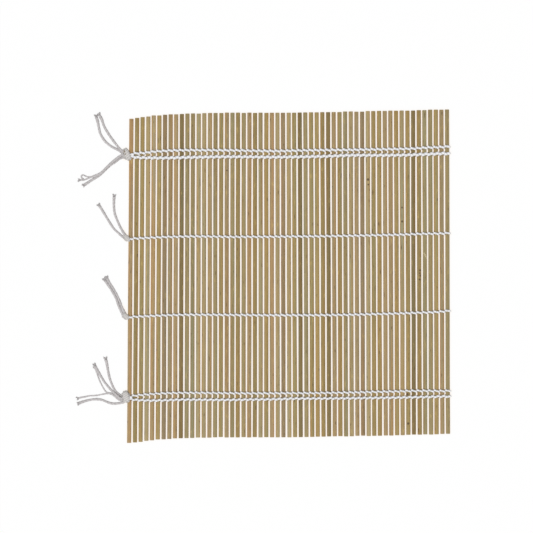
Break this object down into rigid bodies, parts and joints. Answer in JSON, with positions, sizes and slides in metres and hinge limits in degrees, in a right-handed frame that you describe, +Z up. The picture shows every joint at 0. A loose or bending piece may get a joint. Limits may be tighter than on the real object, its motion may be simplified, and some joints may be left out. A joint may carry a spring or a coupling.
{
  "type": "sushi rolling mat",
  "caption": "Square mat of narrow bamboo slats bound side by side by twined cotton cords, knotted along one edge with loose ends, that rolls up across its slats.",
  "frame": {"origin": "on the table, under the middle of the slats, bound cords and knots, with the mat flat", "axes": "+Z up, skin side of the slats; +Y along the slats; +X across them, away from the knots"},
  "size_m": [0.2754, 0.2466, 0.004],
  "materials": {
    "bamboo": "dry, split and planed bamboo",
    "row_cord": "twisted cotton",
    "knot_cord": "twisted cotton",
    "loose_cord": "slack twisted cotton"
  },
  "bodies": {
    "slat_01": {"slat_01": "bamboo", "row_cords": "row_cord", "knots": "knot_cord", "loose_ends": "loose_cord"},
    "slat_02": {"slat_02": "bamboo"},
    "slat_03": {"slat_03": "bamboo"},
    "slat_04": {"slat_04": "bamboo"},
    "slat_05": {"slat_05": "bamboo"},
    "slat_06": {"slat_06": "bamboo"},
    "slat_07": {"slat_07": "bamboo"},
    "slat_08": {"slat_08": "bamboo"},
    "slat_09": {"slat_09": "bamboo"},
    "slat_10": {"slat_10": "bamboo"},
    "slat_11": {"slat_11": "bamboo"},
    "slat_12": {"slat_12": "bamboo"},
    "slat_13": {"slat_13": "bamboo"},
    "slat_14": {"slat_14": "bamboo"},
    "slat_15": {"slat_15": "bamboo"},
    "slat_16": {"slat_16": "bamboo"},
    "slat_17": {"slat_17": "bamboo"},
    "slat_18": {"slat_18": "bamboo"},
    "slat_19": {"slat_19": "bamboo"},
    "slat_20": {"slat_20": "bamboo"},
    "slat_21": {"slat_21": "bamboo"},
    "slat_22": {"slat_22": "bamboo"},
    "slat_23": {"slat_23": "bamboo"},
    "slat_24": {"slat_24": "bamboo"},
    "slat_25": {"slat_25": "bamboo"},
    "slat_26": {"slat_26": "bamboo"},
    "slat_27": {"slat_27": "bamboo"},
    "slat_28": {"slat_28": "bamboo"},
    "slat_29": {"slat_29": "bamboo"},
    "slat_30": {"slat_30": "bamboo"},
    "slat_31": {"slat_31": "bamboo"},
    "slat_32": {"slat_32": "bamboo"},
    "slat_33": {"slat_33": "bamboo"},
    "slat_34": {"slat_34": "bamboo"},
    "slat_35": {"slat_35": "bamboo"},
    "slat_36": {"slat_36": "bamboo"},
    "slat_37": {"slat_37": "bamboo"},
    "slat_38": {"slat_38": "bamboo"},
    "slat_39": {"slat_39": "bamboo"},
    "slat_40": {"slat_40": "bamboo"},
    "slat_41": {"slat_41": "bamboo"},
    "slat_42": {"slat_42": "bamboo"},
    "slat_43": {"slat_43": "bamboo"},
    "slat_44": {"slat_44": "bamboo"},
    "slat_45": {"slat_45": "bamboo"},
    "slat_46": {"slat_46": "bamboo"},
    "slat_47": {"slat_47": "bamboo"},
    "slat_48": {"slat_48": "bamboo"},
    "slat_49": {"slat_49": "bamboo"},
    "slat_50": {"slat_50": "bamboo"},
    "slat_51": {"slat_51": "bamboo"},
    "slat_52": {"slat_52": "bamboo"},
    "slat_53": {"slat_53": "bamboo"},
    "slat_54": {"slat_54": "bamboo"},
    "slat_55": {"slat_55": "bamboo"},
    "slat_56": {"slat_56": "bamboo"},
    "slat_57": {"slat_57": "bamboo"}
  },
  "joints": [
    {"name": "hinge_01", "type": "hinge", "parent": "slat_01", "child": "slat_02", "pos_m": [-0.11355, -0.00315, 0.00202], "axis": [-0.0071, -1, 0], "range_deg": [0, 12.28], "deforming": ["row_cords"]},
    {"name": "hinge_02", "type": "hinge", "parent": "slat_02", "child": "slat_03", "pos_m": [-0.10932, -0.00265, 0.00202], "axis": [-0.0066, -1, 0], "range_deg": [0, 12.38], "deforming": ["row_cords"]},
    {"name": "hinge_03", "type": "hinge", "parent": "slat_03", "child": "slat_04", "pos_m": [-0.10515, -0.0021, 0.00202], "axis": [-0.0062, -1, 0], "range_deg": [0, 12.48], "deforming": ["row_cords"]},
    {"name": "hinge_04", "type": "hinge", "parent": "slat_04", "child": "slat_05", "pos_m": [-0.10096, -0.0015, 0.00202], "axis": [-0.0057, -1, 0], "range_deg": [0, 12.58], "deforming": ["row_cords"]},
    {"name": "hinge_05", "type": "hinge", "parent": "slat_05", "child": "slat_06", "pos_m": [-0.09681, -0.00105, 0.00202], "axis": [-0.0052, -1, 0], "range_deg": [0, 12.68], "deforming": ["row_cords"]},
    {"name": "hinge_06", "type": "hinge", "parent": "slat_06", "child": "slat_07", "pos_m": [-0.09257, -0.00075, 0.00202], "axis": [-0.0047, -1, 0], "range_deg": [0, 12.78], "deforming": ["row_cords"]},
    {"name": "hinge_07", "type": "hinge", "parent": "slat_07", "child": "slat_08", "pos_m": [-0.08835, -0.00045, 0.00202], "axis": [-0.0043, -1, 0], "range_deg": [0, 12.89], "deforming": ["row_cords"]},
    {"name": "hinge_08", "type": "hinge", "parent": "slat_08", "child": "slat_09", "pos_m": [-0.08418, -0.0002, 0.00202], "axis": [-0.0038, -1, 0], "range_deg": [0, 13], "deforming": ["row_cords"]},
    {"name": "hinge_09", "type": "hinge", "parent": "slat_09", "child": "slat_10", "pos_m": [-0.08002, 0, 0.00202], "axis": [-0.0033, -1, 0], "range_deg": [0, 13.12], "deforming": ["row_cords"]},
    {"name": "hinge_10", "type": "hinge", "parent": "slat_10", "child": "slat_11", "pos_m": [-0.07577, 0.0002, 0.00202], "axis": [-0.0029, -1, 0], "range_deg": [0, 13.23], "deforming": ["row_cords"]},
    {"name": "hinge_11", "type": "hinge", "parent": "slat_11", "child": "slat_12", "pos_m": [-0.07161, 0.00035, 0.00202], "axis": [-0.0025, -1, 0], "range_deg": [0, 13.35], "deforming": ["row_cords"]},
    {"name": "hinge_12", "type": "hinge", "parent": "slat_12", "child": "slat_13", "pos_m": [-0.06745, 0.00045, 0.00202], "axis": [-0.0023, -1, 0], "range_deg": [0, 13.48], "deforming": ["row_cords"]},
    {"name": "hinge_13", "type": "hinge", "parent": "slat_13", "child": "slat_14", "pos_m": [-0.0632, 0.00055, 0.00202], "axis": [-0.0022, -1, 0], "range_deg": [0, 13.6], "deforming": ["row_cords"]},
    {"name": "hinge_14", "type": "hinge", "parent": "slat_14", "child": "slat_15", "pos_m": [-0.05906, 0.00065, 0.00202], "axis": [-0.002, -1, 0], "range_deg": [0, 13.73], "deforming": ["row_cords"]},
    {"name": "hinge_15", "type": "hinge", "parent": "slat_15", "child": "slat_16", "pos_m": [-0.05484, 0.00075, 0.00202], "axis": [-0.0018, -1, 0], "range_deg": [0, 13.87], "deforming": ["row_cords"]},
    {"name": "hinge_16", "type": "hinge", "parent": "slat_16", "child": "slat_17", "pos_m": [-0.05064, 0.00085, 0.00202], "axis": [-0.0016, -1, 0], "range_deg": [0, 14], "deforming": ["row_cords"]},
    {"name": "hinge_17", "type": "hinge", "parent": "slat_17", "child": "slat_18", "pos_m": [-0.04644, 0.0009, 0.00202], "axis": [-0.0014, -1, 0], "range_deg": [0, 14.14], "deforming": ["row_cords"]},
    {"name": "hinge_18", "type": "hinge", "parent": "slat_18", "child": "slat_19", "pos_m": [-0.04226, 0.0009, 0.00202], "axis": [-0.0012, -1, 0], "range_deg": [0, 14.29], "deforming": ["row_cords"]},
    {"name": "hinge_19", "type": "hinge", "parent": "slat_19", "child": "slat_20", "pos_m": [-0.03811, 0.0009, 0.00202], "axis": [-0.001, -1, 0], "range_deg": [0, 14.44], "deforming": ["row_cords"]},
    {"name": "hinge_20", "type": "hinge", "parent": "slat_20", "child": "slat_21", "pos_m": [-0.03392, 0.0009, 0.00202], "axis": [-0.0008, -1, 0], "range_deg": [0, 14.6], "deforming": ["row_cords"]},
    {"name": "hinge_21", "type": "hinge", "parent": "slat_21", "child": "slat_22", "pos_m": [-0.0297, 0.0009, 0.00202], "axis": [-0.0007, -1, 0], "range_deg": [0, 14.76], "deforming": ["row_cords"]},
    {"name": "hinge_22", "type": "hinge", "parent": "slat_22", "child": "slat_23", "pos_m": [-0.02555, 0.0009, 0.00202], "axis": [-0.0005, -1, 0], "range_deg": [0, 14.93], "deforming": ["row_cords"]},
    {"name": "hinge_23", "type": "hinge", "parent": "slat_23", "child": "slat_24", "pos_m": [-0.02137, 0.0009, 0.00202], "axis": [-0.0003, -1, 0], "range_deg": [0, 15.1], "deforming": ["row_cords"]},
    {"name": "hinge_24", "type": "hinge", "parent": "slat_24", "child": "slat_25", "pos_m": [-0.01717, 0.0009, 0.00202], "axis": [-0.0001, -1, 0], "range_deg": [0, 15.28], "deforming": ["row_cords"]},
    {"name": "hinge_25", "type": "hinge", "parent": "slat_25", "child": "slat_26", "pos_m": [-0.01296, 0.0009, 0.00202], "axis": [0.0003, -1, 0], "range_deg": [0, 15.46], "deforming": ["row_cords"]},
    {"name": "hinge_26", "type": "hinge", "parent": "slat_26", "child": "slat_27", "pos_m": [-0.00876, 0.0009, 0.00202], "axis": [0.0009, -1, 0], "range_deg": [0, 15.65], "deforming": ["row_cords"]},
    {"name": "hinge_27", "type": "hinge", "parent": "slat_27", "child": "slat_28", "pos_m": [-0.00458, 0.0009, 0.00202], "axis": [0.0015, -1, 0], "range_deg": [0, 15.85], "deforming": ["row_cords"]},
    {"name": "hinge_28", "type": "hinge", "parent": "slat_28", "child": "slat_29", "pos_m": [-0.00037, 0.0009, 0.00202], "axis": [0.002, -1, 0], "range_deg": [0, 16.06], "deforming": ["row_cords"]},
    {"name": "hinge_29", "type": "hinge", "parent": "slat_29", "child": "slat_30", "pos_m": [0.00377, 0.00094, 0.00202], "axis": [0.0026, -1, 0], "range_deg": [0, 16.27], "deforming": ["row_cords"]},
    {"name": "hinge_30", "type": "hinge", "parent": "slat_30", "child": "slat_31", "pos_m": [0.00796, 0.00102, 0.00202], "axis": [0.0032, -1, 0], "range_deg": [0, 16.5], "deforming": ["row_cords"]},
    {"name": "hinge_31", "type": "hinge", "parent": "slat_31", "child": "slat_32", "pos_m": [0.01219, 0.00109, 0.00202], "axis": [0.0035, -1, 0], "range_deg": [0, 16.73], "deforming": ["row_cords"]},
    {"name": "hinge_32", "type": "hinge", "parent": "slat_32", "child": "slat_33", "pos_m": [0.01636, 0.00117, 0.00202], "axis": [0.0035, -1, 0], "range_deg": [0, 16.97], "deforming": ["row_cords"]},
    {"name": "hinge_33", "type": "hinge", "parent": "slat_33", "child": "slat_34", "pos_m": [0.02057, 0.00125, 0.00202], "axis": [0.0034, -1, 0], "range_deg": [0, 17.23], "deforming": ["row_cords"]},
    {"name": "hinge_34", "type": "hinge", "parent": "slat_34", "child": "slat_35", "pos_m": [0.02472, 0.00133, 0.00202], "axis": [0.0034, -1, 0], "range_deg": [0, 17.5], "deforming": ["row_cords"]},
    {"name": "hinge_35", "type": "hinge", "parent": "slat_35", "child": "slat_36", "pos_m": [0.02894, 0.00141, 0.00202], "axis": [0.0034, -1, 0], "range_deg": [0, 17.77], "deforming": ["row_cords"]},
    {"name": "hinge_36", "type": "hinge", "parent": "slat_36", "child": "slat_37", "pos_m": [0.03314, 0.00148, 0.00202], "axis": [0.0034, -1, 0], "range_deg": [0, 18.07], "deforming": ["row_cords"]},
    {"name": "hinge_37", "type": "hinge", "parent": "slat_37", "child": "slat_38", "pos_m": [0.0373, 0.00156, 0.00202], "axis": [0.0034, -1, 0], "range_deg": [0, 18.38], "deforming": ["row_cords"]},
    {"name": "hinge_38", "type": "hinge", "parent": "slat_38", "child": "slat_39", "pos_m": [0.04152, 0.00164, 0.00202], "axis": [0.0033, -1, 0], "range_deg": [0, 18.7], "deforming": ["row_cords"]},
    {"name": "hinge_39", "type": "hinge", "parent": "slat_39", "child": "slat_40", "pos_m": [0.04568, 0.00172, 0.00202], "axis": [0.0033, -1, 0], "range_deg": [0, 19.04], "deforming": ["row_cords"]},
    {"name": "hinge_40", "type": "hinge", "parent": "slat_40", "child": "slat_41", "pos_m": [0.04986, 0.0018, 0.00202], "axis": [0.0033, -1, 0], "range_deg": [0, 19.4], "deforming": ["row_cords"]},
    {"name": "hinge_41", "type": "hinge", "parent": "slat_41", "child": "slat_42", "pos_m": [0.05403, 0.00189, 0.00202], "axis": [0.0033, -1, 0], "range_deg": [0, 19.79], "deforming": ["row_cords"]},
    {"name": "hinge_42", "type": "hinge", "parent": "slat_42", "child": "slat_43", "pos_m": [0.05823, 0.00197, 0.00202], "axis": [0.0033, -1, 0], "range_deg": [0, 20.19], "deforming": ["row_cords"]},
    {"name": "hinge_43", "type": "hinge", "parent": "slat_43", "child": "slat_44", "pos_m": [0.06243, 0.00205, 0.00202], "axis": [0.0032, -1, 0], "range_deg": [0, 20.63], "deforming": ["row_cords"]},
    {"name": "hinge_44", "type": "hinge", "parent": "slat_44", "child": "slat_45", "pos_m": [0.0666, 0.00213, 0.00202], "axis": [0.0032, -1, 0], "range_deg": [0, 21.09], "deforming": ["row_cords"]},
    {"name": "hinge_45", "type": "hinge", "parent": "slat_45", "child": "slat_46", "pos_m": [0.07086, 0.00221, 0.00202], "axis": [0.0032, -1, 0], "range_deg": [0, 21.58], "deforming": ["row_cords"]},
    {"name": "hinge_46", "type": "hinge", "parent": "slat_46", "child": "slat_47", "pos_m": [0.07503, 0.0023, 0.00202], "axis": [0.0032, -1, 0], "range_deg": [0, 22.11], "deforming": ["row_cords"]},
    {"name": "hinge_47", "type": "hinge", "parent": "slat_47", "child": "slat_48", "pos_m": [0.07926, 0.00238, 0.00202], "axis": [0.0032, -1, 0], "range_deg": [0, 22.68], "deforming": ["row_cords"]},
    {"name": "hinge_48", "type": "hinge", "parent": "slat_48", "child": "slat_49", "pos_m": [0.08343, 0.00246, 0.00202], "axis": [0.0031, -1, 0], "range_deg": [0, 23.3], "deforming": ["row_cords"]},
    {"name": "hinge_49", "type": "hinge", "parent": "slat_49", "child": "slat_50", "pos_m": [0.0876, 0.00256, 0.00202], "axis": [0.0031, -1, 0], "range_deg": [0, 23.98], "deforming": ["row_cords"]},
    {"name": "hinge_50", "type": "hinge", "parent": "slat_50", "child": "slat_51", "pos_m": [0.0918, 0.00267, 0.00202], "axis": [0.0031, -1, 0], "range_deg": [0, 24.71], "deforming": ["row_cords"]},
    {"name": "hinge_51", "type": "hinge", "parent": "slat_51", "child": "slat_52", "pos_m": [0.09594, 0.00278, 0.00202], "axis": [0.0031, -1, 0], "range_deg": [0, 25.52], "deforming": ["row_cords"]},
    {"name": "hinge_52", "type": "hinge", "parent": "slat_52", "child": "slat_53", "pos_m": [0.10018, 0.00289, 0.00202], "axis": [0.0031, -1, 0], "range_deg": [0, 26.41], "deforming": ["row_cords"]},
    {"name": "hinge_53", "type": "hinge", "parent": "slat_53", "child": "slat_54", "pos_m": [0.10435, 0.00301, 0.00202], "axis": [0.003, -1, 0], "range_deg": [0, 27.4], "deforming": ["row_cords"]},
    {"name": "hinge_54", "type": "hinge", "parent": "slat_54", "child": "slat_55", "pos_m": [0.10858, 0.00312, 0.00202], "axis": [0.003, -1, 0], "range_deg": [0, 28.51], "deforming": ["row_cords"]},
    {"name": "hinge_55", "type": "hinge", "parent": "slat_55", "child": "slat_56", "pos_m": [0.11279, 0.00323, 0.00202], "axis": [0.003, -1, 0], "range_deg": [0, 29.76], "deforming": ["row_cords"]},
    {"name": "hinge_56", "type": "hinge", "parent": "slat_56", "child": "slat_57", "pos_m": [0.11694, 0.00334, 0.00202], "axis": [0.003, -1, 0], "range_deg": [0, 31.21], "deforming": ["row_cords"]}
  ]
}
